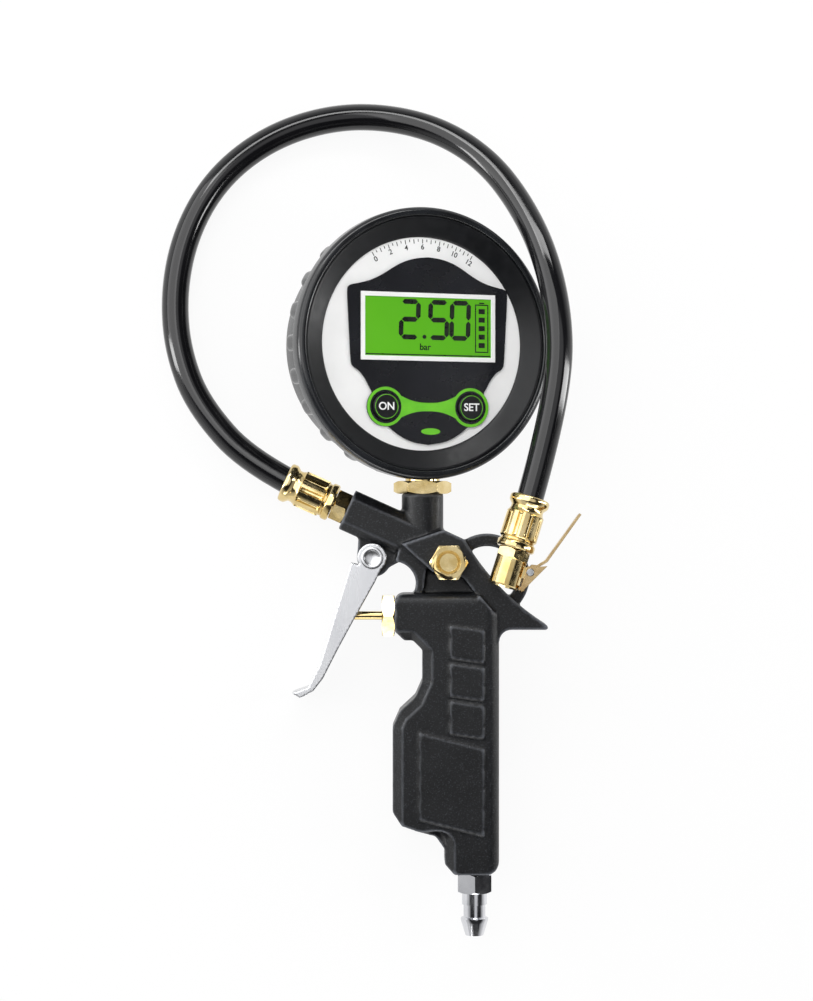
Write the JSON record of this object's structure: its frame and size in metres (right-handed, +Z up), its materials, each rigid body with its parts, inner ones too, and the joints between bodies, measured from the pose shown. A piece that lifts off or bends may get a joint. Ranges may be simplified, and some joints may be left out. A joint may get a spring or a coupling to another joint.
{
  "type": "tyre inflator with gauge",
  "caption": "Hand-held tyre inflator: pistol-shaped casting with a squeeze trigger, a round digital gauge in a ribbed rubber boot, and a rubber hose with a clip-on brass chuck.",
  "frame": {"origin": "centre of the underside of the gun's bounding box, hose and chuck left out, on the surface it lies on", "axes": "+Y from the air inlet towards the gauge, +Z up out of the side it lies on, +X towards the back of the grip"},
  "size_m": [0.1439, 0.3043, 0.052],
  "materials": {
    "black_coated_casting": "black sand-textured powder coat on a die casting",
    "chromed_steel": "bright chrome plate",
    "polished_brass": "polished pale brass",
    "plated_steel": "zinc plate",
    "seal_rubber": "matt rubber",
    "boot_rubber": "satin black rubber",
    "hose_rubber": "glossy black rubber",
    "black_plastic": "fine satin",
    "dial_white": "smooth white",
    "face_film": "black printed film",
    "display_glass": "green backlit display",
    "board_green": "circuit board"
  },
  "bodies": {
    "gun": {"gun_body": "black_coated_casting", "inlet_plug": "chromed_steel", "valve_gland_nut": "polished_brass", "side_plug": "polished_brass", "gauge_stem": "polished_brass", "hose_nipple": "polished_brass", "hose_sleeve": "polished_brass", "chuck_barrel": "polished_brass", "chuck_nipple": "polished_brass", "chuck_sleeve": "polished_brass", "valve_seat": "polished_brass", "chuck_depressor": "polished_brass", "chuck_lever_pin": "plated_steel", "chuck_lever_spring": "plated_steel", "valve_spring": "plated_steel", "door_screw": "plated_steel", "board_screws": "plated_steel", "battery_contacts": "plated_steel", "battery_cells": "plated_steel", "pressure_sensor": "plated_steel", "stem_seal": "seal_rubber", "side_plug_washer": "seal_rubber", "inlet_washer": "seal_rubber", "chuck_gasket": "seal_rubber", "gauge_boot": "boot_rubber", "hose": "hose_rubber", "gauge_case": "black_plastic", "battery_door": "black_plastic", "bezel_ring": "black_plastic", "button_switches": "black_plastic", "dial_plate": "dial_white", "display_frame": "dial_white", "backlight": "dial_white", "face_panel": "face_film", "display_glass": "display_glass", "circuit_board": "board_green"},
    "trigger": {"trigger_lever": "chromed_steel", "trigger_pin": "chromed_steel"},
    "valve": {"valve_stem": "chromed_steel", "valve_poppet": "plated_steel"},
    "on_button": {"button_on": "black_plastic"},
    "set_button": {"button_set": "black_plastic"},
    "chuck_thumb_lever": {"chuck_lever": "plated_steel"}
  },
  "joints": [
    {"name": "trigger_hinge", "type": "hinge", "parent": "gun", "child": "trigger", "pos_m": [-0.01523, 0.00637, 0.01645], "axis": [-0.2198, -0.0731, 0.9728], "range_deg": [0, 15], "stiffness_Nm_per_rad": 0.8, "springref_deg": -20.05},
    {"name": "valve_slide", "type": "slide", "parent": "gun", "child": "valve", "axis": [0.9755, -0.0165, 0.2192], "range_m": [0, 0.0059], "deforming": ["valve_spring"]},
    {"name": "on_button_slide", "type": "slide", "parent": "gun", "child": "on_button", "axis": [-0.153, 0.0741, -0.9854], "range_m": [0, 0.0008], "stiffness_N_per_m": 700, "springref_m": -0.0004},
    {"name": "set_button_slide", "type": "slide", "parent": "gun", "child": "set_button", "axis": [-0.153, 0.0741, -0.9854], "range_m": [0, 0.0008], "stiffness_N_per_m": 700, "springref_m": -0.0004},
    {"name": "chuck_lever_hinge", "type": "hinge", "parent": "gun", "child": "chuck_thumb_lever", "pos_m": [0.03583, -0.00084, 0.04313], "axis": [-0.188, 0.0261, 0.9818], "range_deg": [0, 18], "stiffness_Nm_per_rad": 0.06, "springref_deg": -14.32}
  ],
  "couplings": [
    {"joint": "valve_slide", "follows": "trigger_hinge", "m_per_rad": 0.0225}
  ]
}
